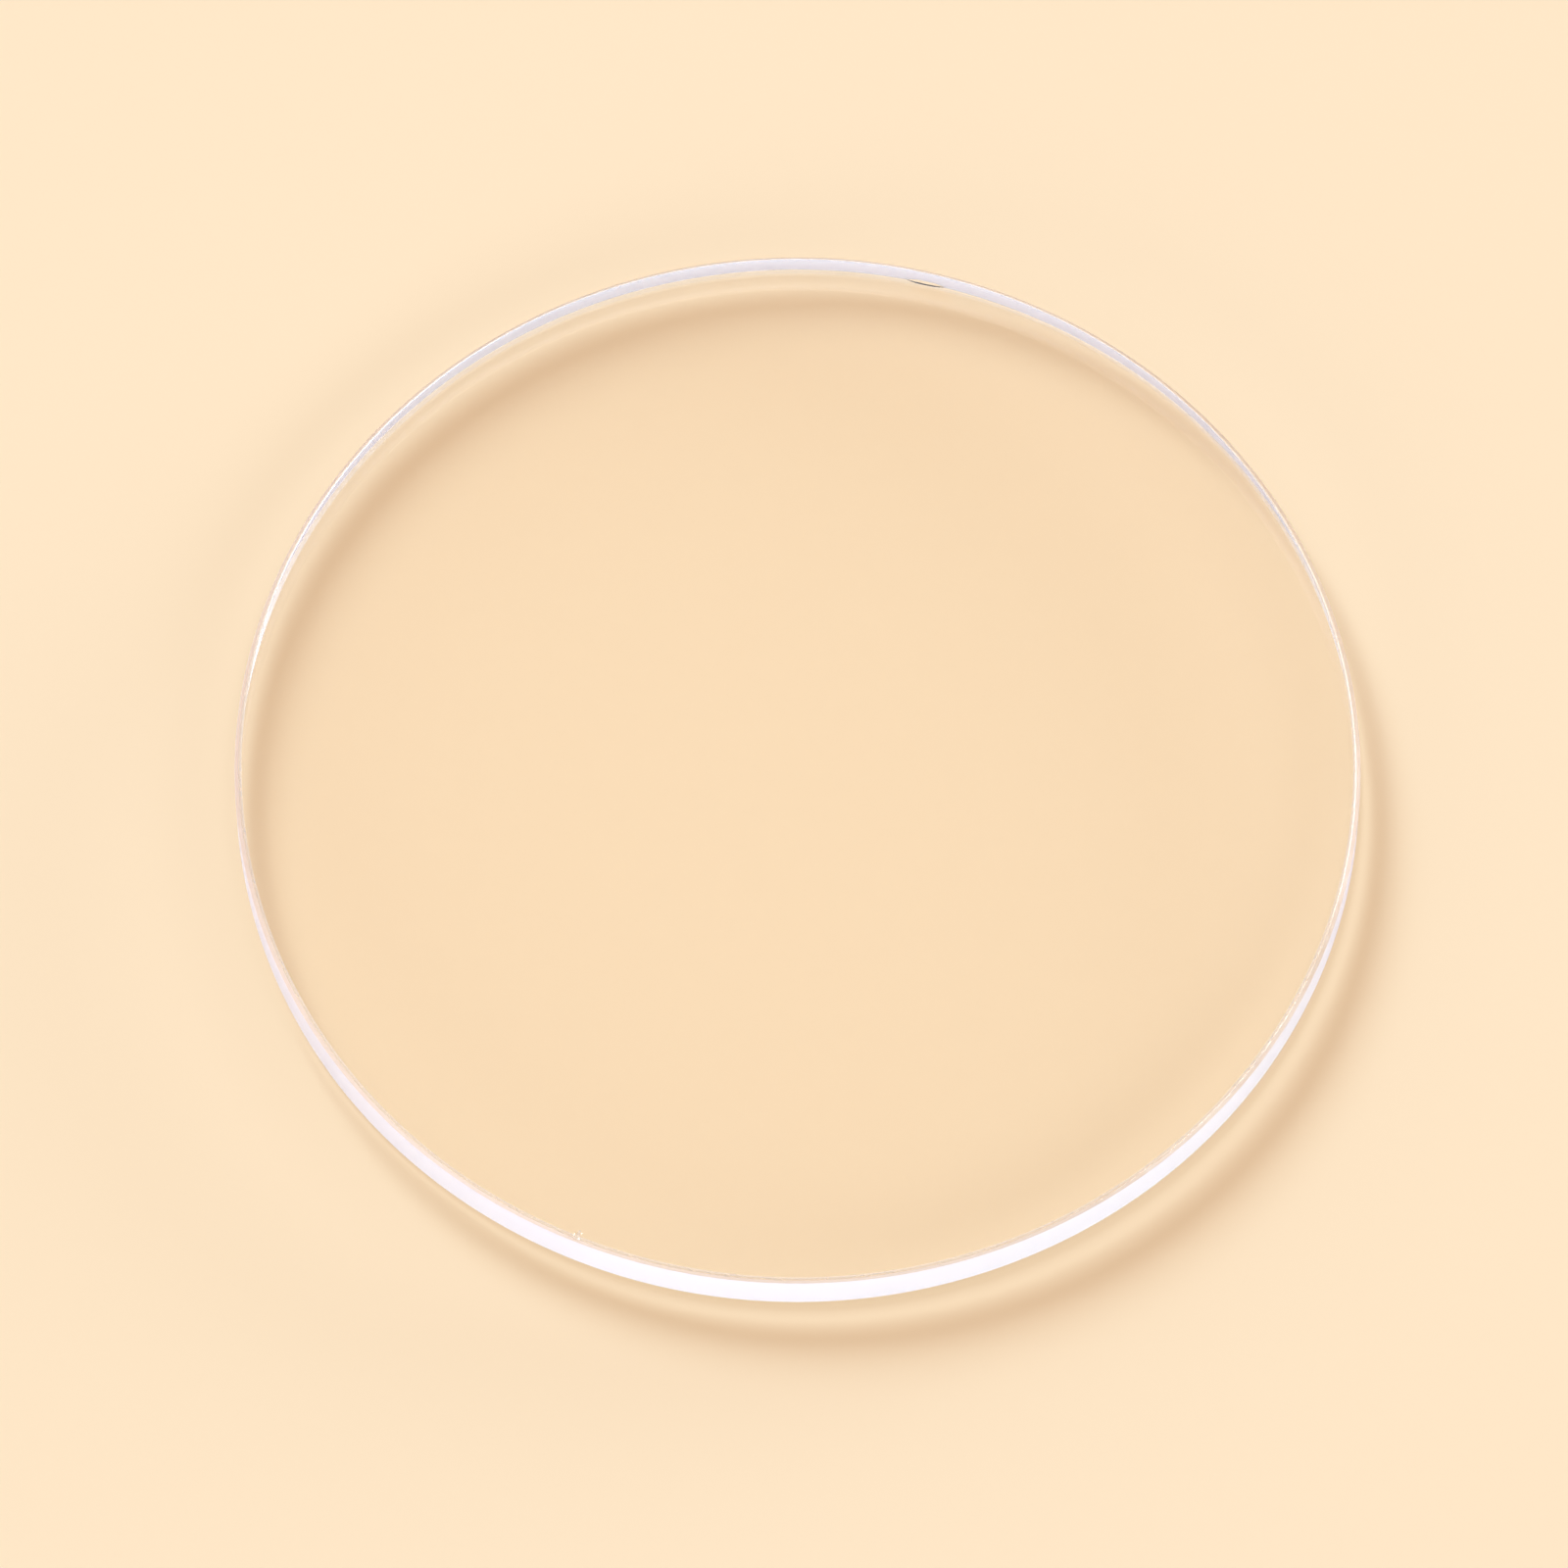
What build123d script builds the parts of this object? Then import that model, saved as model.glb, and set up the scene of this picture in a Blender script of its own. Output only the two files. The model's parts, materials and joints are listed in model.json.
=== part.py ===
from build123d import *
from math import radians, tan
import os

# A flat round watch crystal: one disc of mineral glass, ground to its diameter
# and bevelled on both edges. It lies on its underside, centred on the Z axis,
# with the underside at Z = 0 and the face that looks out of the watch on top.
# All lengths are in millimetres and all angles in degrees.

# The blank.
crystal_diameter = 30.0
crystal_thickness = 1.5

# The bevels. Each width is measured along the flat face and each angle from it.
# The upper bevel is the one that shows round the dial. The lower bevel takes the
# sharp edge off, so that the crystal starts into its gasket.
upper_bevel_width = 0.13
upper_bevel_angle = 45.0
lower_bevel_width = 0.12
lower_bevel_angle = 45.0

# An arris is the line where two surfaces of the rim meet. Polishing the faces
# rolls each face into its bevel, so that arris is well rounded. The two arrises
# of the ground wall never meet the polishing pad and stay almost sharp.
face_arris_radius = 0.09
wall_arris_radius = 0.02

# The rounding of an arris may take at most this much of the narrower bevel.
arris_limit_share = 0.8

crystal_radius = crystal_diameter / 2


def bevel_drop(width, angle):
    """How far a bevel runs along the wall of the rim."""
    return width * tan(radians(angle))


def rim_corners():
    """The section's four corners at the rim, from the underside up to the upper face."""
    wall_foot = bevel_drop(lower_bevel_width, lower_bevel_angle)
    wall_head = crystal_thickness - bevel_drop(upper_bevel_width, upper_bevel_angle)
    return [
        (crystal_radius - lower_bevel_width, 0),
        (crystal_radius, wall_foot),
        (crystal_radius, wall_head),
        (crystal_radius - upper_bevel_width, crystal_thickness),
    ]


def arris_radii():
    """The rounding of each of those corners, limited by the narrower bevel."""
    limit = min(upper_bevel_width, lower_bevel_width) * arris_limit_share
    face_arris = min(face_arris_radius, limit)
    wall_arris = min(wall_arris_radius, limit)
    return [face_arris, wall_arris, wall_arris, face_arris]


def half_section():
    """Half of the crystal cut through its axis: a thin slab with a bevelled end."""
    underside_centre = (0, 0)
    upper_face_centre = (0, crystal_thickness)
    with BuildSketch(Plane.XZ) as section:
        with BuildLine():
            FilletPolyline(
                underside_centre, *rim_corners(), upper_face_centre, radius=arris_radii()
            )
            Line(upper_face_centre, underside_centre)
        make_face()
    return section.sketch


def crystal():
    """The whole crystal: the half section turned once round the Z axis."""
    return revolve(half_section(), axis=Axis.Z)


os.makedirs("parts", exist_ok=True)
export_step(crystal(), "parts/crystal.step")
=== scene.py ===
# %% [markdown]
# # A flat watch crystal
#
# This notebook dresses one object: the flat round glass that closes the front of a watch.
# It is a disc of mineral glass. Both faces are polished, the wall round the outside is
# finely ground, and a narrow bevel is cut between the wall and each face.
#
# Clear glass has hardly any colour of its own. What the eye reads is the rim, the light
# that runs inside the disc, and the soft ring of shadow beside it. So the lesson spends
# its cells on those: first the true shape of the rim, then the four finishes of the
# glass, then the light that makes them show.

# %% Tools, and the fixed frame
import bpy
import json
from math import cos, pi, radians, sin
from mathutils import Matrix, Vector
from types import SimpleNamespace


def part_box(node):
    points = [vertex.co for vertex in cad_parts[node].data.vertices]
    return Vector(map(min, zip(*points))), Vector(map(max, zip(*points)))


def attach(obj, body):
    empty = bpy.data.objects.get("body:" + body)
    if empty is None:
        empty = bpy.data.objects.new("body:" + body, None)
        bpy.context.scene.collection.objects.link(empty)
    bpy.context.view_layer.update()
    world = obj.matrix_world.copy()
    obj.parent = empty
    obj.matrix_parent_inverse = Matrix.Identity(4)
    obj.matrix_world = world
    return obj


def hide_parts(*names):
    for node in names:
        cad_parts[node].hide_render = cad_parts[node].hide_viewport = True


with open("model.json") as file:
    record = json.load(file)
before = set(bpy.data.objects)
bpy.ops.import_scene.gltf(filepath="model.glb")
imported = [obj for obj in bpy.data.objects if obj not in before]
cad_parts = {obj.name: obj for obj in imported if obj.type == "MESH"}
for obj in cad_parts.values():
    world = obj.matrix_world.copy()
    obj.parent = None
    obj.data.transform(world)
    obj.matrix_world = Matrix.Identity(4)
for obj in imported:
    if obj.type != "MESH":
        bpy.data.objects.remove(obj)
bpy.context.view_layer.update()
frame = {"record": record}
MM = 0.001


# %% [markdown]
# ## The sizes of the crystal
#
# A watchmaker orders a crystal by two numbers, its diameter and its thickness. Both come
# from the frame here, so the glass that is dressed below is as large as the one that was
# drawn: the radius is the radius of the rim's fit, and the thickness is the height of the
# box. The bevels and the small rounds of the rim are the grinder's own settings.

# %% Read the blank, and name the bevels
mounts = {mount["name"]: mount for mount in frame["record"]["mounts"]}
RADIUS = mounts["rim"]["dims"]["r_mm"] * MM
underside_corner, upper_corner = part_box("crystal")
THICKNESS = upper_corner.z - underside_corner.z

UPPER_BEVEL = 0.13 * MM
LOWER_BEVEL = 0.12 * MM
BEVEL_ANGLE = 45
FACE_ARRIS = 0.09 * MM
WALL_ARRIS = 0.02 * MM

print(f"diameter {2 * RADIUS / MM:.2f} mm, thickness {THICKNESS / MM:.2f} mm")
print(f"the rim is {THICKNESS / (2 * RADIUS):.3f} of the diameter thick")

# %% [markdown]
# ## The section of the rim
#
# A rim is ground on a spinning disc, so its whole shape is one outline turned round the
# axis. Blender could bevel a cylinder to get something like it, but a bevel modifier
# can't give two different bevels and rounds of two sizes. The outline is written out
# instead, from the underside up: face, bevel, wall, bevel, face. The bevels lie at 45
# degrees, so each takes as much off the wall as off the face.
#
# An arris is the line where two of those meet. It is never quite sharp: the polish
# carries over it and rolls it. That roll is no wider than a hair, yet it is what catches
# the lamp and draws the bright line round a crystal, so each arris gets its own arc, with
# exact normals for the light to play on.

# %% One outline point: where it is, which way it faces, and which finish it has
POLISHED, BEVELLED, GROUND, ROLLED = 0, 1, 2, 3
DOWN, OUTWARD, UP = -90, 0, 90
ARC_STEPS = 8


def facing(degrees):
    """The direction in the section at that angle above the horizon."""
    return cos(radians(degrees)), sin(radians(degrees))


def arris(corner, radius, from_degrees, to_degrees, finish):
    """The points of the arc that rounds a corner between two surfaces of the rim."""
    half_turn = radians(to_degrees - from_degrees) / 2
    middle = facing((from_degrees + to_degrees) / 2)
    centre = [c - radius / cos(half_turn) * m for c, m in zip(corner, middle)]
    points = []
    for step in range(ARC_STEPS + 1):
        angle = from_degrees + (to_degrees - from_degrees) * step / ARC_STEPS
        out, up = facing(angle)
        points.append((centre[0] + radius * out, centre[1] + radius * up, out, up, finish))
    return points


def run(start, end, steps, finish):
    """Points along a straight side, between the arcs at its two ends."""
    points = []
    for step in range(1, steps):
        share = step / steps
        out = start[0] + (end[0] - start[0]) * share
        up = start[1] + (end[1] - start[1]) * share
        points.append((out, up, start[2], start[3], finish))
    return points


# %% The whole outline
BEVEL_STEPS, WALL_STEPS = 5, 16
FACE_BORDERS = (1.4 * MM, 0.6 * MM, 0.45 * MM, 0.36 * MM, 0.30 * MM)


def face_border(up, way):
    """Rings on a face near the rim, so that what happens there stays out of its middle."""
    return [(RADIUS - inset, up, 0, way, POLISHED) for inset in FACE_BORDERS]


def rim_section(lower_bevel, upper_bevel):
    """The outline of the rim from the underside to the upper face, for these bevels."""
    wall_top = (RADIUS, THICKNESS - upper_bevel)
    face_edge = (RADIUS - upper_bevel, THICKNESS)
    foot = arris((RADIUS - lower_bevel, 0), FACE_ARRIS, DOWN, -BEVEL_ANGLE, POLISHED)
    wall_foot = arris((RADIUS, lower_bevel), WALL_ARRIS, -BEVEL_ANGLE, OUTWARD, BEVELLED)
    wall_head = arris(wall_top, WALL_ARRIS, OUTWARD, BEVEL_ANGLE, GROUND)
    head = arris(face_edge, FACE_ARRIS, BEVEL_ANGLE, UP, ROLLED)
    return (
        face_border(0, -1)
        + foot
        + run(foot[-1], wall_foot[0], BEVEL_STEPS, BEVELLED)
        + wall_foot
        + run(wall_foot[-1], wall_head[0], WALL_STEPS, GROUND)
        + wall_head
        + run(wall_head[-1], head[0], BEVEL_STEPS, BEVELLED)
        + head
        + face_border(THICKNESS, 1)[::-1]
    )


section = rim_section(LOWER_BEVEL, UPPER_BEVEL)
print(len(section), "points from the underside to the upper face")

# %% [markdown]
# ## A rim that was ground by hand
#
# The disc is held against the wheel for a second or two on each side, so a bevel is a
# hair wider in one place than in another. A few slow waves round the rim are enough to
# say so. They only move the bevels: the diameter and the thickness stay exact, because
# those have to fit the watch. Each bevel is ground on its own, so its waves start in
# another place.

# %% Let the bevels breathe
# Each wave: how often it goes round, its share of the bevel's width, where it starts.
BEVEL_WAVES = ((1, 0.06, 0.6), (2, 0.2, 1.4), (5, 0.018, 4.0), (11, 0.008, 1.3))
UPPER_START, LOWER_START = 0.0, 2.0


def bevel_at(width, turn, start):
    """The width of a bevel at one place round the rim."""
    swings = [share * sin(count * turn + own + start) for count, share, own in BEVEL_WAVES]
    return width * (1 + sum(swings))


widths = [bevel_at(UPPER_BEVEL, radians(turn), UPPER_START) / MM for turn in range(360)]
print(f"the upper bevel runs from {min(widths):.3f} to {max(widths):.3f} mm")

# %% [markdown]
# ## Two small chips
#
# A crystal that has been handled loose has a nick or two on its edges. Glass breaks in
# shells, with a smooth hollow face, so each chip is a hollow pressed out of the rim by
# an ellipsoid: long along the rim, and shallow. Every mesh point that lies inside the
# ellipsoid moves out to its skin, and takes the skin's own normal.
#
# The sliver at the back is a fresh break, as smooth as a polished face. The nick at the
# front has been rubbed since, so it has the finish of the arris that it sits on.

# %% Where the chips are, and how large
# out is from the axis and up from the underside; along, across and tall are half sizes.
CHIPS = (
    SimpleNamespace(
        degrees=247.1,
        out=RADIUS - 0.14 * MM,
        up=THICKNESS + 0.03 * MM,
        along=0.12 * MM,
        across=0.17 * MM,
        tall=0.11 * MM,
        finish=ROLLED,
    ),
    SimpleNamespace(
        degrees=76.6,
        out=RADIUS + 0.03 * MM,
        up=0.17 * MM,
        along=0.62 * MM,
        across=0.18 * MM,
        tall=0.12 * MM,
        finish=POLISHED,
    ),
)
for chip in CHIPS:
    print(f"a chip of {2 * chip.along / MM:.2f} by {2 * chip.tall / MM:.2f} mm")

# %% Press them out of the rim
def chipped(turn, out, up, out_way, up_way):
    """A rim point and its normal in 3-D, and the finish of the chip that reaches it."""
    place = Vector((out * cos(turn), out * sin(turn), up))
    normal = Vector((out_way * cos(turn), out_way * sin(turn), up_way))
    broken = None
    for chip in CHIPS:
        middle = radians(chip.degrees)
        outward = Vector((cos(middle), sin(middle), 0))
        onward = Vector((-sin(middle), cos(middle), 0))
        offset = place - outward * chip.out - Vector((0, 0, chip.up))
        on, off = offset @ onward / chip.along, offset @ outward / chip.across
        scaled = Vector((on, off, offset.z / chip.tall))
        if not 0 < scaled.length < 1:
            continue
        skin = scaled.normalized()
        place = (
            outward * (chip.out + skin.y * chip.across)
            + onward * (skin.x * chip.along)
            + Vector((0, 0, chip.up + skin.z * chip.tall))
        )
        normal = -(onward * skin.x / chip.along + outward * skin.y / chip.across)
        normal = (normal - Vector((0, 0, skin.z / chip.tall))).normalized()
        broken = chip.finish
    return place, normal, broken


# %% [markdown]
# ## Turning the outline into a mesh
#
# The outline is turned round the axis in even steps, with finer steps near each chip, so
# that a hollow a tenth of a millimetre wide still has a round edge. The two polished
# faces are each one flat polygon: they have nothing to bend. The normals come from the
# outline and not from the mesh, so the faces are shaded dead flat right up to the arris.

# %% Choose the steps round the rim
# The fine steps reach a tenth past a chip, and on a long chip they are twice as long.
EVEN_STEPS = 720
FINE_STEP = 0.012 * MM
LONG_CHIP = 0.3 * MM
PAST_CHIP = 1.1
DIGITS = 7


def turns_round_rim():
    """The angles at which the outline is set, sorted, each once."""
    angles = {round(2 * pi * step / EVEN_STEPS, DIGITS) for step in range(EVEN_STEPS)}
    for chip in CHIPS:
        step_length = 2 * FINE_STEP if chip.along > LONG_CHIP else FINE_STEP
        half_count = int(chip.along / step_length) + 2
        fine = PAST_CHIP * chip.along / half_count / RADIUS
        for step in range(-half_count, half_count + 1):
            angles.add(round((radians(chip.degrees) + fine * step) % (2 * pi), DIGITS))
    return sorted(angles)


turns = turns_round_rim()
print(len(turns), "steps round the rim")

# %% Build the disc
def crystal_mesh():
    """The whole disc as one closed mesh, with the finish of each face as its material."""
    places, normals, breaks, faces, finishes = [], [], [], [], []
    for turn in turns:
        lower = bevel_at(LOWER_BEVEL, turn, LOWER_START)
        upper = bevel_at(UPPER_BEVEL, turn, UPPER_START)
        for out, up, out_way, up_way, _ in rim_section(lower, upper):
            place, normal, broken = chipped(turn, out, up, out_way, up_way)
            places.append(place)
            normals.append(normal)
            breaks.append(broken)
    count, around = len(section), len(turns)
    for at in range(around):
        this, following = at * count, (at + 1) % around * count
        for step in range(count - 1):
            corners = (this + step, following + step, following + step + 1, this + step + 1)
            broken = [breaks[corner] for corner in corners]
            *_, planned = section[step + 1]
            faces.append(corners)
            finishes.append(planned if None in broken else broken[0])
    faces.append([at * count for at in reversed(range(around))])
    faces.append([at * count + count - 1 for at in range(around)])
    finishes += [POLISHED, POLISHED]
    mesh = bpy.data.meshes.new("crystal_disc")
    mesh.from_pydata(places, [], faces)
    mesh.validate()
    mesh.polygons.foreach_set("use_smooth", [True] * len(faces))
    mesh.polygons.foreach_set("material_index", finishes)
    mesh.normals_split_custom_set_from_vertices(normals)
    mesh.update()
    return mesh


disc = bpy.data.objects.new("crystal_disc", crystal_mesh())
bpy.context.scene.collection.objects.link(disc)
print(len(disc.data.vertices), "points and", len(disc.data.polygons), "faces")

# %% [markdown]
# ## Writing shader sums as Python
#
# A material is a graph of nodes, and sums are tedious to wire by hand. This small class
# holds one socket. Adding or multiplying two of them adds the Math node that does it, and
# the method `node` adds any other node: its settings go in first, because they decide
# which sockets the node has, and then the values or links of its sockets.

# %% The wire: one socket that can be calculated with
def pick(sockets, key):
    """The socket of that number or name, out of those that the settings leave on."""
    shown = [socket for socket in sockets if socket.enabled]
    if isinstance(key, int):
        return shown[key]
    return next(socket for socket in shown if socket.name == key)


class Wire:
    """One output in a node tree, or just the tree where a sum starts."""

    def __init__(self, tree, socket=None):
        self.tree = tree
        self.socket = socket

    def node(self, kind, settings=None, sockets=None, output=0):
        """Add a node, set it up, fill its sockets, and return a wire from one output."""
        made = self.tree.nodes.new(kind)
        for name, value in (settings or {}).items():
            setattr(made, name, value)
        for key, value in (sockets or {}).items():
            entry = pick(made.inputs, key)
            if isinstance(value, Wire):
                self.tree.links.new(value.socket, entry)
            else:
                entry.default_value = value
        return Wire(self.tree, pick(made.outputs, output))

    def calculate(self, operation, first, second):
        return self.node("ShaderNodeMath", {"operation": operation}, {0: first, 1: second})

    def __add__(self, other):
        return self.calculate("ADD", self, other)

    def __radd__(self, other):
        return self.calculate("ADD", other, self)

    def __sub__(self, other):
        return self.calculate("SUBTRACT", self, other)

    def __rsub__(self, other):
        return self.calculate("SUBTRACT", other, self)

    def __mul__(self, other):
        return self.calculate("MULTIPLY", self, other)

    def __rmul__(self, other):
        return self.calculate("MULTIPLY", other, self)


# %% [markdown]
# ## Noise in the glass's own measure
#
# Every pattern below is made of noise that is read in metres, so a scratch keeps its
# width on a crystal of another size. Stretching the coordinates stretches the pattern: a
# grinding wheel leaves lines that run along the rim and not across it, so there the
# height is multiplied, and the noise changes far faster up the wall than along it.

# %% Patterns
def along_rim(place, times):
    """The place with its height multiplied, which draws patterns out along the rim."""
    return place.node(
        "ShaderNodeVectorMath", {"operation": "MULTIPLY"}, {0: place, 1: (1, 1, times)}
    )


def noise(place, size, detail=2.0, rough=0.5):
    """Soft noise with spots about that size in metres, from 0 to 1."""
    return place.node(
        "ShaderNodeTexNoise",
        {"noise_dimensions": "3D"},
        {"Vector": place, "Scale": 1 / size, "Detail": detail, "Roughness": rough},
        output="Fac",
    )


def between(value, low, high):
    """0 below low, 1 above high, and a smooth step in between."""
    return value.node(
        "ShaderNodeMapRange",
        {"interpolation_type": "SMOOTHSTEP"},
        {"Value": value, "From Min": low, "From Max": high},
    )


def colours(mask, first, second):
    """The first colour where the mask is 0 and the second where it is 1."""
    return mask.node(
        "ShaderNodeMix", {"data_type": "RGBA"}, {"Factor": mask, "A": first, "B": second}
    )


def height_in(place):
    """The upward part of a place or a direction."""
    return place.node("ShaderNodeSeparateXYZ", {}, {"Vector": place}, output="Z")


def up_the_rim(place, low, high):
    """0 below the first share of the thickness, 1 above the second, smooth between."""
    return between(height_in(place), low * THICKNESS, high * THICKNESS)


def bumped(height, strength, distance):
    """The normal of a surface that is that rough, in metres."""
    sockets = {"Strength": strength, "Distance": distance, "Height": height}
    return height.node("ShaderNodeBump", {}, sockets)


# %% [markdown]
# ## Three ways for light to meet the rim
#
# Where the glass is clear, light passes and bends: that is the Principled shader with
# full transmission. Where a spot is broken or pitted, light scatters. Some of it goes
# back to the side it came from, which is the Diffuse shader, and some goes on through,
# which is the Translucent shader. Each finish below is clear glass, or a mix of those
# three.

# %% Clear, scattering, and a mix
GLASS_INDEX = 1.52


def clear_glass(place, tint, roughness, more=None):
    """Glass for the eye: the tint of its surface, how rough it is, and other sockets."""
    sockets = {"Base Color": tint, "Roughness": roughness, "IOR": GLASS_INDEX}
    sockets["Transmission Weight"] = 1.0
    sockets.update(more or {})
    return place.node("ShaderNodeBsdfPrincipled", {}, sockets)


def scattered(place, way, colour, more=None):
    """Light sent back, for the way Diffuse, or sent on, for the way Translucent."""
    return place.node("ShaderNodeBsdf" + way, {}, {"Color": colour, **(more or {})})


def mixed(share, first, second):
    """The first shader where the share is 0 and the second where it is 1."""
    return first.node("ShaderNodeMixShader", {}, {0: share, 1: first, 2: second})


# %% [markdown]
# ## What a lamp meets on its way through
#
# Light that passes a lens of glass lands somewhere else as a caustic, and a path tracer
# finds those paths only by luck, which shows as specks. The usual way round it is to ask
# the Light Path node who is looking. A shadow ray, or a ray that left the table, goes
# straight through a plain transparent shader that takes off as much light as the real
# glass would. Every other ray meets the true glass.
#
# The table beside a real crystal is lit again where the foot of the rim lets light out,
# and its ring of shadow belongs to the upper part of the rim. So a stand-in can have a
# mask: where the mask is 1, all of the light passes.

# %% Begin and end a tree
def new_tree(owner):
    """Empty the node tree of a material or a world, and return where its wires start."""
    owner.use_nodes = True
    owner.node_tree.nodes.clear()
    return Wire(owner.node_tree)


def show(name, shader, kind="ShaderNodeOutputMaterial"):
    """End a tree in its output node, so that this shader is what it shows."""
    out = shader.tree.nodes.new(kind)
    shader.tree.links.new(shader.socket, out.inputs["Surface"])
    print(name, "has", len(shader.tree.nodes), "nodes")


def new_material(name):
    """An empty material, and the place on the crystal, in metres, to start from."""
    material = bpy.data.materials.new(name)
    return material, new_tree(material).node("ShaderNodeTexCoord", output="Object")


# %% Glass with a stand-in for lamps
def glass_with_stand_in(name, glass, passed, mask=None):
    """End a material: glass for the eye, and plain transparency for lamps."""
    stand_in = glass.node("ShaderNodeBsdfTransparent", {}, {"Color": (*passed, 1)})
    if mask is not None:
        clear = glass.node("ShaderNodeBsdfTransparent", {}, {"Color": (1, 1, 1, 1)})
        stand_in = mixed(mask, stand_in, clear)
    surface = glass
    for ray in ("Is Shadow Ray", "Is Diffuse Ray"):
        asked = glass.node("ShaderNodeLightPath", output=ray)
        surface = mixed(asked, surface, stand_in)
    show(name, surface)


# %% [markdown]
# ## The polished faces
#
# Polished glass is as smooth as it gets: it sends back four parts in a hundred of the
# light that meets it head on, and lets the rest through. What tells the eye that there
# is a surface at all is the faint film a wipe leaves, which shows only in a reflection.
# So the film goes into the roughness, and stays so thin that nothing seen through the
# glass is blurred.
#
# Each face also takes a little off the light of the lamps, more of the blue than of the
# red. The table under the crystal is a shade deeper for it than the table beside it.

# %% Polished face
FACE_TINT = (0.985, 0.992, 0.99, 1)
FACE_PASSES = (0.993, 0.95, 0.888)
FACE_ROUGHNESS, FILM_ROUGHNESS = 0.004, 0.02
WIPE_SIZE, WIPE_EDGES = 6 * MM, (0.52, 0.74)


def polished_face():
    material, place = new_material("polished_face")
    film = between(noise(place, WIPE_SIZE, detail=3), *WIPE_EDGES)
    glass = clear_glass(place, FACE_TINT, film * FILM_ROUGHNESS + FACE_ROUGHNESS)
    glass_with_stand_in("polished_face", glass, FACE_PASSES)
    return material


# %% [markdown]
# ## The bevels
#
# A bevel is ground and then polished, but for a much shorter time than a face. It keeps a
# haze, and the last of the wheel's lines along it. The lines are two thousandths of a
# millimetre deep at most, so they are a bump and not a shape. A very small metallic share
# stands for the light that the slope throws back from inside.
#
# Light that has run through the disc leaves it at the upper bevel, where the haze spreads
# it as a pale veil. The lower bevel has no veil. It is the one that takes light off the
# lamps, which leaves the fine dark line where the rim meets the table.

# %% Polished bevel
BEVEL_TINT = (0.99, 0.985, 1.0, 1)
BEVEL_PASSES = (0.74, 0.7, 0.64)
VEIL_COLOUR = (0.86, 0.86, 1.0, 1)
VEIL_SHARE, VEIL_SWING, THROWN_BACK = 0.65, 0.1, 0.06
BEVEL_ROUGHNESS, HAZE_ROUGHNESS, LINE_ROUGHNESS = 0.2, 0.05, 0.03
HAZE_SIZE, HAZE_EDGES = 1.6 * MM, (0.35, 0.75)
LINE_SIZE, LINE_STRETCH = 2.2 * MM, 60
LINE_DEPTH, LINE_STRENGTH = 0.002 * MM, 0.03
UPPER_PART = (0.2, 0.8)


def polished_bevel():
    material, place = new_material("polished_bevel")
    lines = noise(along_rim(place, LINE_STRETCH), LINE_SIZE, detail=3, rough=0.6)
    haze = between(noise(place, HAZE_SIZE, detail=2), *HAZE_EDGES)
    roughness = haze * HAZE_ROUGHNESS + lines * LINE_ROUGHNESS + BEVEL_ROUGHNESS
    normal = bumped(lines, LINE_STRENGTH, LINE_DEPTH)
    more = {"Metallic": THROWN_BACK, "Normal": normal}
    glass = clear_glass(place, BEVEL_TINT, roughness, more)
    upper = up_the_rim(place, *UPPER_PART)
    veil = scattered(place, "Translucent", VEIL_COLOUR)
    surface = mixed((haze * VEIL_SWING + VEIL_SHARE) * upper, glass, veil)
    glass_with_stand_in("polished_bevel", surface, BEVEL_PASSES, upper)
    return material


# %% [markdown]
# ## The rolled arris
#
# The arris between the upper bevel and the face is the line that everything touches. It
# is rolled by the polish and then bruised, so it holds more fine damage than a face or a
# bevel. The bruises scatter light both ways, and its round finds a lamp to mirror nearly
# everywhere, so it shows as a thin pale line with a few bright stretches.

# %% Rolled arris
ARRIS_TINT = (0.99, 0.99, 1.0, 1)
ARRIS_PASSES = (0.8, 0.78, 0.76)
BRUISE_COLOUR = (0.88, 0.9, 1.0, 1)
BRUISED_SHARE, BRUISE_SWING, BRUISES_SEND_ON = 0.26, 0.1, 0.3
ARRIS_ROUGHNESS, BRUISE_ROUGHNESS, ARRIS_THROWN_BACK = 0.19, 0.05, 0.02
BRUISE_SIZE, BRUISE_STRETCH = 1.2 * MM, 8


def rolled_arris():
    material, place = new_material("rolled_arris")
    bruises = noise(along_rim(place, BRUISE_STRETCH), BRUISE_SIZE, detail=3, rough=0.6)
    roughness = bruises * BRUISE_ROUGHNESS + ARRIS_ROUGHNESS
    glass = clear_glass(place, ARRIS_TINT, roughness, {"Metallic": ARRIS_THROWN_BACK})
    sent_back = scattered(place, "Diffuse", BRUISE_COLOUR)
    sent_on = scattered(place, "Translucent", BRUISE_COLOUR)
    bruised = mixed(BRUISES_SEND_ON, sent_back, sent_on)
    surface = mixed((bruises - 0.5) * BRUISE_SWING + BRUISED_SHARE, glass, bruised)
    glass_with_stand_in("rolled_arris", surface, ARRIS_PASSES)
    return material
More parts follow.
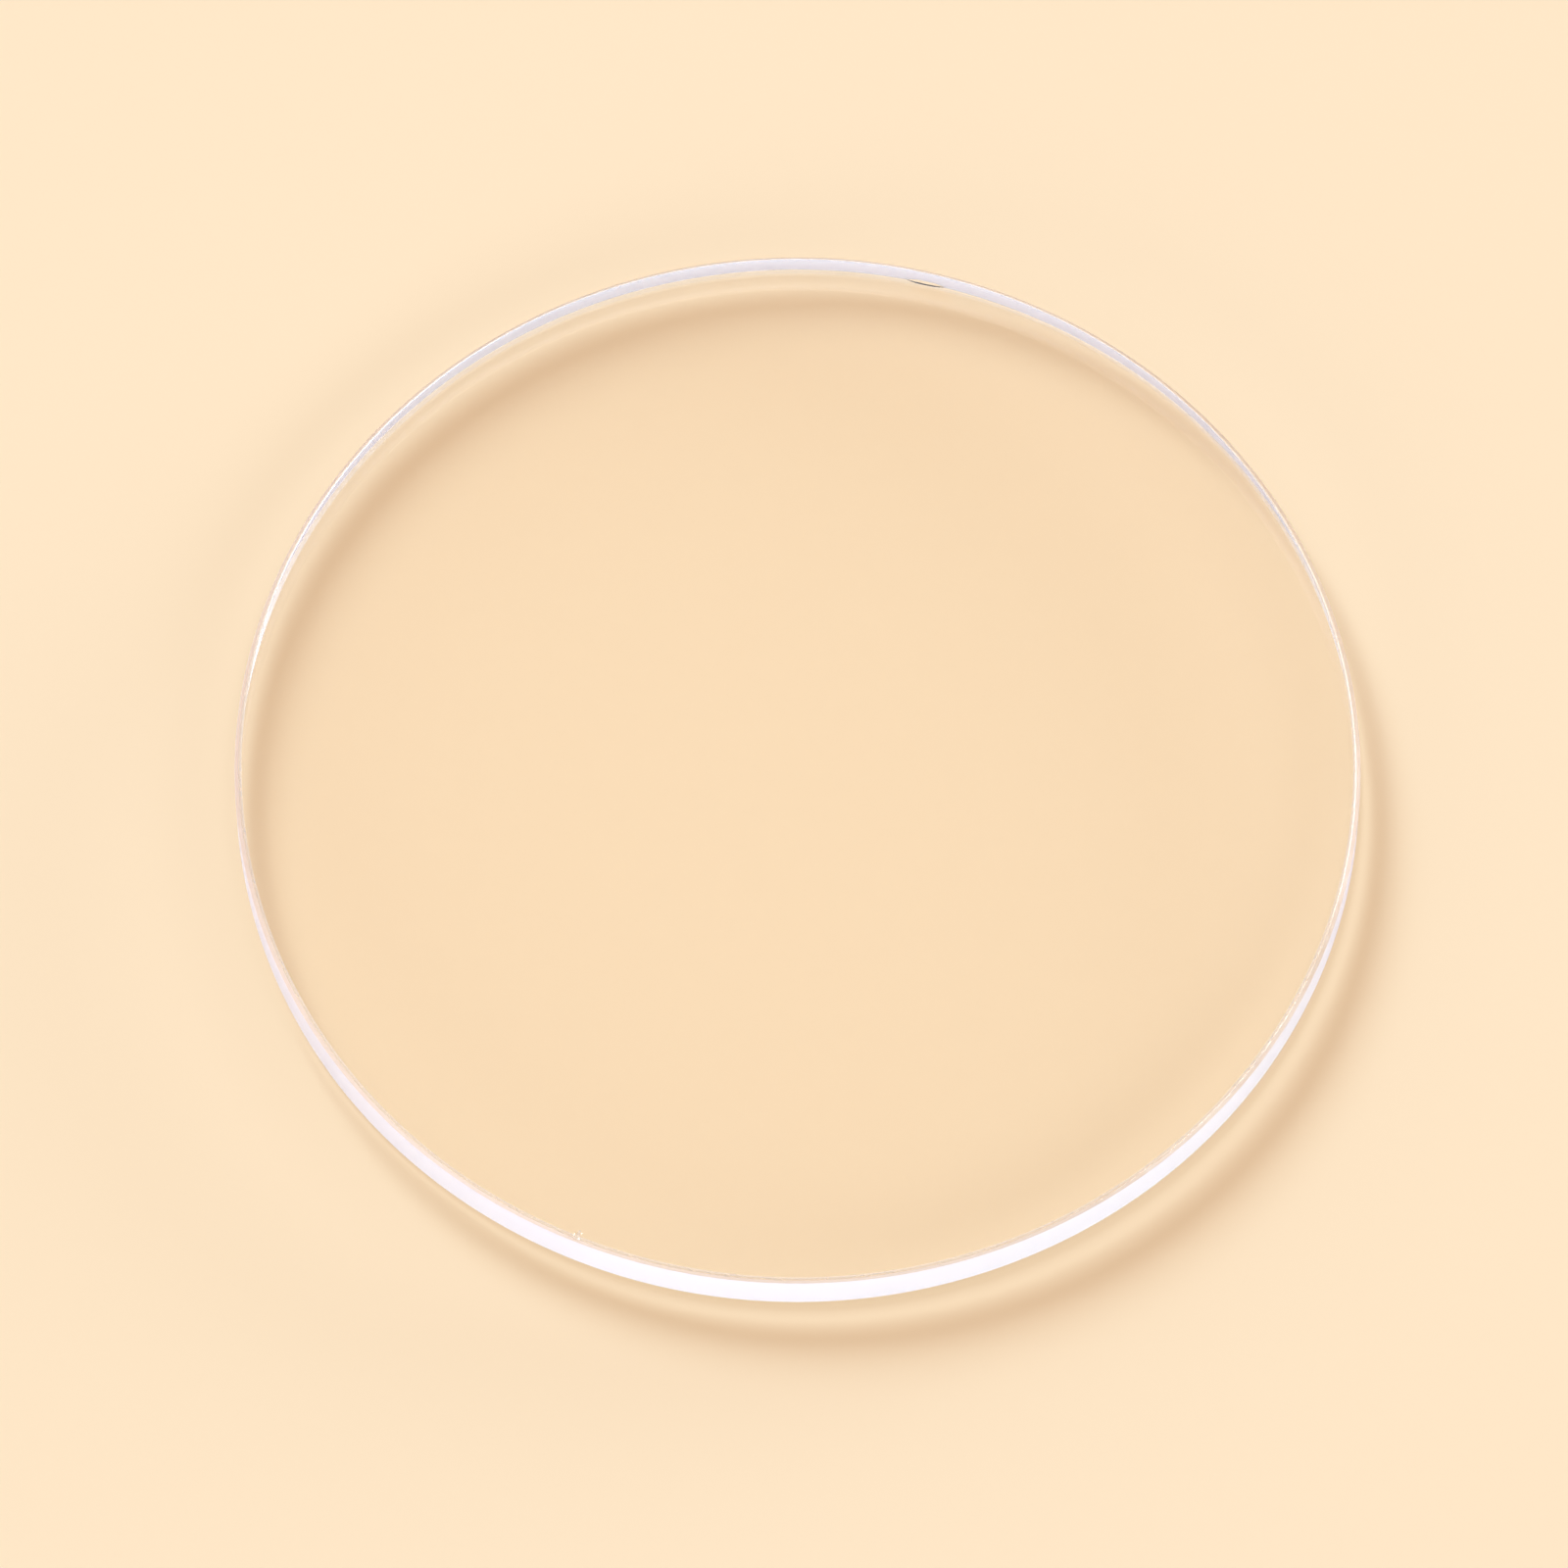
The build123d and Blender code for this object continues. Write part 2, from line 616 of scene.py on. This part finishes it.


# %% [markdown]
# ## The ground wall
#
# The wall is left as the wheel leaves it, because it is hidden in the watch. It is a
# field of tiny pits and of fine lines along the rim. Each pit bends the light another
# way, so the wall looks like frosted ice: light that has run through the disc comes out
# of it in all directions, and it glows white. The frost is mostly the Translucent shader
# for that reason.
#
# At the back the wall is seen from inside the glass, where it mirrors what it can't let
# out. That dim mirror is painted: a darker lavender layer of painted shade is laid over
# it, by as much as the Fresnel node says that the wall mirrors, and a little less near the
# top.
#
# The stand-in is warm, because the window's light is a little blue and the shadow of the
# rim has to stay brown. It takes light off only over the middle of the wall's height. The
# foot lets light out, so a bright line stays between the rim and its shadow.

# %% What the ground wall is made of
FROST_TINTS = ((0.97, 0.965, 0.99, 1), (0.99, 0.985, 0.99, 1))
FROST_WHITE = (0.77, 0.79, 0.93, 1)
# Painted shade: the darker colour of the wall where it is seen from inside the glass.
INNER_PAINTED_SHADE = (0.66, 0.62, 0.74, 1)
WALL_PASSES = (0.36, 0.18, 0.03)
WALL_ROUGHNESS, PATCH_ROUGHNESS, PIT_ROUGHNESS = 0.38, 0.08, 0.12
FROST_SHARE, FROST_SENDS_ON = 0.78, 0.8
WHEEL_SWING, PIT_SWING = 0.15, 0.25
SHADE_AT_FOOT, SHADE_LESS_AT_HEAD = 0.52, 0.32
WHEEL_SIZE, WHEEL_STRETCH = 0.5 * MM, 22
PATCH_SIZE, PATCH_STRETCH, PATCH_EDGES = 2.4 * MM, 3, (0.3, 0.7)
PIT_SIZE, PIT_DEPTH, PIT_STRENGTH = 0.035 * MM, 0.004 * MM, 0.5
WHEEL_HEIGHT, PIT_HEIGHT = 0.6, 0.4
FOOT_ENDS, HEAD_BEGINS = (0.3, 0.45), (0.75, 0.9)


# %% Ground wall
def frosted(place, wheel_lines, pits, normal):
    """The ground glass as it looks from outside: frost over rough clear glass."""
    turned = {"Normal": normal}
    spots = noise(along_rim(place, PATCH_STRETCH), PATCH_SIZE, detail=2)
    patches = between(spots, *PATCH_EDGES)
    roughness = patches * PATCH_ROUGHNESS + pits * PIT_ROUGHNESS + WALL_ROUGHNESS
    glass = clear_glass(place, colours(patches, *FROST_TINTS), roughness, turned)
    sent_back = scattered(place, "Diffuse", FROST_WHITE, turned)
    sent_on = scattered(place, "Translucent", FROST_WHITE, turned)
    frost = mixed(FROST_SENDS_ON, sent_back, sent_on)
    swing = (wheel_lines - 0.5) * WHEEL_SWING + (pits - 0.5) * PIT_SWING
    return mixed(swing + FROST_SHARE, glass, frost)


def ground_wall():
    material, place = new_material("ground_wall")
    wheel_lines = noise(along_rim(place, WHEEL_STRETCH), WHEEL_SIZE, detail=4, rough=0.62)
    pits = noise(place, PIT_SIZE, detail=2, rough=0.7)
    height = wheel_lines * WHEEL_HEIGHT + pits * PIT_HEIGHT
    normal = bumped(height, PIT_STRENGTH, PIT_DEPTH)
    # Painted shade: a darker diffuse layer, mixed in by the Fresnel factor and more towards
    # the foot.
    inner_mirror = place.node("ShaderNodeFresnel", {}, {"IOR": GLASS_INDEX})
    shade = SHADE_AT_FOOT - SHADE_LESS_AT_HEAD * up_the_rim(place, 0, 1)
    shaded = scattered(place, "Diffuse", INNER_PAINTED_SHADE, {"Normal": normal})
    frost = frosted(place, wheel_lines, pits, normal)
    surface = mixed(inner_mirror * shade, frost, shaded)
    middle = up_the_rim(place, *FOOT_ENDS) * (1 - up_the_rim(place, *HEAD_BEGINS))
    glass_with_stand_in("ground_wall", surface, WALL_PASSES, 1 - middle)
    return material


# %% Put the four finishes on the disc
for finish in (polished_face(), polished_bevel(), ground_wall(), rolled_arris()):
    disc.data.materials.append(finish)
areas = dict.fromkeys(disc.data.materials.keys(), 0.0)
for polygon in disc.data.polygons:
    areas[disc.data.materials[polygon.material_index].name] += polygon.area / MM**2
print("square mm:", {name: round(area, 1) for name, area in areas.items()})

# %% [markdown]
# ## The disc takes the place of the plain solid
#
# The detailed disc rides with the part's only body, and stands for the solid that was
# drawn in CAD, which then isn't shown.

# %% Ride and replace
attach(disc, "root")
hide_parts("crystal")
print(disc.name, "rides with root and stands for crystal")

# %% [markdown]
# ## The table
#
# Clear glass shows whatever it lies on, so the table is plain and pale, in a warm sand
# colour. It is a flat round, far larger than the crystal, so that a low view still has
# table behind it.
#
# Two flat things touch only where they are highest, and there is air between them
# everywhere else. Here the air is a hundredth of a millimetre thick, with the table that
# much lower. If glass and table lay at exactly the same height, a ray could not tell
# which of them it meets first, and the picture would get streaks.

# %% Table
TABLE_COLOUR = (0.957, 0.724, 0.497, 1)
TABLE_RADIUS = 0.6
TABLE_RINGS = (0.2, 1.0)
TABLE_SIDES = 96
AIR_GAP = 0.01 * MM


def table_top():
    mesh = bpy.data.meshes.new("table")
    places = [(0, 0, 0)]
    for ring in TABLE_RINGS:
        for side in range(TABLE_SIDES):
            turn, reach = 2 * pi * side / TABLE_SIDES, TABLE_RADIUS * ring
            places.append((reach * cos(turn), reach * sin(turn), 0))
    faces = []
    for side in range(TABLE_SIDES):
        here, after = 1 + side, 1 + (side + 1) % TABLE_SIDES
        faces.append((0, here, after))
        faces.append((here, TABLE_SIDES + here, TABLE_SIDES + after, after))
    mesh.from_pydata(places, [], faces)
    top = bpy.data.objects.new("table", mesh)
    top.location.z = -AIR_GAP
    bpy.context.scene.collection.objects.link(top)
    return top


def table_finish():
    material = bpy.data.materials.new("sand_table")
    show("sand_table", scattered(new_tree(material), "Diffuse", TABLE_COLOUR))
    return material


table = table_top()
table.data.materials.append(table_finish())
print(f"a table {2 * TABLE_RADIUS:.1f} m across, {AIR_GAP / MM:.2f} mm under the glass")

# %% [markdown]
# ## The room
#
# A clear disc is a weak mirror, so the room has to be one that may be seen in it. It is
# nearly white at the horizon and dark blue overhead, because a white ceiling would lay a
# grey veil over the whole disc. One pale round panel hangs where the upper face mirrors
# it to the camera, so that the whole face has one soft and even shine.
#
# The table gets only a faint even light from the room. The lamps do the rest.

# %% Room
# The white fades into the ceiling between two heights, where 0 is level and 1 overhead.
HORIZON = (0.95, 0.97, 1.0, 1)
CEILING = (0.07, 0.11, 0.27, 1)
FADE_STARTS, FADE_ENDS = 0.12, 0.4
PANEL_COLOUR = (0.9, 0.9, 0.9, 1)
PANEL_HEIGHT_ANGLE, PANEL_INNER, PANEL_OUTER = 65.8, 9, 18
ROOM_LIGHT, ROOM_LIGHT_STRENGTH = (0.86, 0.93, 1, 1), 0.1


def seen_room(way):
    """The colour of the room in that direction, for the eye and for the glass."""
    walls = colours(between(height_in(way), FADE_STARTS, FADE_ENDS), HORIZON, CEILING)
    panel_out, panel_up = facing(PANEL_HEIGHT_ANGLE)
    towards_panel = way.node(
        "ShaderNodeVectorMath",
        {"operation": "DOT_PRODUCT"},
        {0: way, 1: (0, panel_out, panel_up)},
        output="Value",
    )
    inside, outside = cos(radians(PANEL_INNER)), cos(radians(PANEL_OUTER))
    return colours(between(towards_panel, outside, inside), walls, PANEL_COLOUR)


def room():
    world = bpy.data.worlds.new("room")
    bpy.context.scene.world = world
    start = new_tree(world)
    shown = seen_room(start.node("ShaderNodeTexCoord", output="Generated"))
    for_eye = start.node("ShaderNodeBackground", {}, {"Color": shown, "Strength": 1.0})
    faint = {"Color": ROOM_LIGHT, "Strength": ROOM_LIGHT_STRENGTH}
    for_table = start.node("ShaderNodeBackground", {}, faint)
    asked = start.node("ShaderNodeLightPath", output="Is Diffuse Ray")
    show("room", mixed(asked, for_eye, for_table), "ShaderNodeOutputWorld")


room()

# %% [markdown]
# ## The lamps
#
# The rim is a ring of small mirrors and windows, so nearly every lamp shows somewhere on
# it. Each lamp has one job:
#
# - The window lamp stands behind the crystal on the left. It throws the ring of shadow
#   to the front and right, draws the bright line at the back left, and runs through the
#   disc to the ground wall at the front.
# - The low window behind is wide, and makes that wall glow evenly along its length.
# - The left lamp stands high and softens the shadow.
# - The low lamp on the right draws the bright line on that side of the rim.
# - The strip and the low lamp in front lie where the front bevel mirrors them.
# - The top lamp fills the shadows, so that they stay light.
#
# All of them are as far off as windows are, so the table is lit evenly. Together they
# give it the light that renders it in about the colour it was given.

# %% Lamps
LAMP_DISTANCE, LOW_WINDOW_DISTANCE = 4.5, 5.5
WHITE = (1.0, 1.0, 1.0)
DAYLIGHT, LOW_DAYLIGHT = (0.82, 0.92, 1.0), (0.72, 0.92, 1.0)
COOL, COOLER = (0.95, 0.95, 1.0), (0.9, 0.9, 1.0)
WARM = (1.0, 0.96, 0.9)

# Name, azimuth from +X towards +Y, elevation, distance, width, height, radiance, colour.
LAMPS = (
    ("window_lamp", 121, 34.5, LAMP_DISTANCE, 2.0, 2.0, 18.4, DAYLIGHT),
    ("low_window", 95, 15, LOW_WINDOW_DISTANCE, 13.0, 2.1, 2.2, LOW_DAYLIGHT),
    ("left_lamp", 150, 60, LAMP_DISTANCE, 1.6, 1.6, 2.6, WHITE),
    ("low_right_lamp", 27, 6, LAMP_DISTANCE, 3.5, 0.95, 17.0, COOLER),
    ("front_strip", 318, 26, LAMP_DISTANCE, 9.5, 1.2, 2.1, COOL),
    ("front_left_low", 232, 11, LAMP_DISTANCE, 5.0, 1.5, 2.6, WHITE),
    ("top_lamp", 0, 89.9, LAMP_DISTANCE, 3.5, 3.5, 1.8, WARM),
)


def soft_lamp(name, azimuth, elevation, distance, width, height, radiance, colour):
    """An oval lamp that faces the crystal, as bright as that all over."""
    area = pi * width * height / 4
    data = bpy.data.lights.new(name, "AREA")
    data.shape = "ELLIPSE"
    data.size = width
    data.size_y = height
    data.color = colour
    data.energy = radiance * pi * area
    lamp = bpy.data.objects.new(name, data)
    level, up = facing(elevation)
    east, north = facing(azimuth)
    lamp.location = (distance * level * east, distance * level * north, distance * up)
    lamp.rotation_mode = "QUATERNION"
    lamp.rotation_quaternion = (-lamp.location).to_track_quat("-Z", "Y")
    bpy.context.scene.collection.objects.link(lamp)
    share = radiance * area * up / (pi * distance**2)
    print(f"{name} gives the table {share:.2f} of full light")


for lamp_row in LAMPS:
    soft_lamp(*lamp_row)

# %% [markdown]
# ## The camera
#
# The crystal is looked down on at an angle of 66 degrees through a long lens, so its
# outline is nearly a true ellipse. The camera looks a little to the left of the centre
# of the disc, which puts the disc a little to the right in the picture.

# %% Camera
CAMERA_HEIGHT_ANGLE = 65.777
CAMERA_DISTANCE = 0.4
CAMERA_LENS = 344.3
SENSOR = 36.0
NEAREST, FARTHEST = 0.01, 10
AIM = Vector((-0.362 * MM, -0.334 * MM, THICKNESS / 2))

camera_data = bpy.data.cameras.new("camera")
camera_data.lens = CAMERA_LENS
camera_data.sensor_width = SENSOR
camera_data.clip_start = NEAREST
camera_data.clip_end = FARTHEST
camera = bpy.data.objects.new("camera", camera_data)
tilt = radians(CAMERA_HEIGHT_ANGLE)
back = Vector((0, -cos(tilt), sin(tilt)))
camera.location = AIM + back * CAMERA_DISTANCE
camera.rotation_mode = "QUATERNION"
camera.rotation_quaternion = (-back).to_track_quat("-Z", "Y")
bpy.context.scene.collection.objects.link(camera)
bpy.context.scene.camera = camera
picture_width = SENSOR / CAMERA_LENS * CAMERA_DISTANCE / MM
print(f"the picture is {picture_width:.1f} mm wide at the disc")

# %% [markdown]
# ## How far light is followed
#
# A ray that enters at the wall zigzags between the two faces and meets them some twenty
# times before it reaches the far side. If Blender gave up sooner, the rim would go dark,
# so the limits on bounces are raised.

# %% Render settings that belong to the look
scene = bpy.context.scene
scene.view_settings.view_transform = "Standard"
scene.cycles.max_bounces = 40
scene.cycles.glossy_bounces = 32
scene.cycles.transmission_bounces = 40
scene.cycles.transparent_max_bounces = 24
scene.cycles.diffuse_bounces = 3
scene.cycles.blur_glossy = 0.0
print("light is followed for", scene.cycles.max_bounces, "bounces")
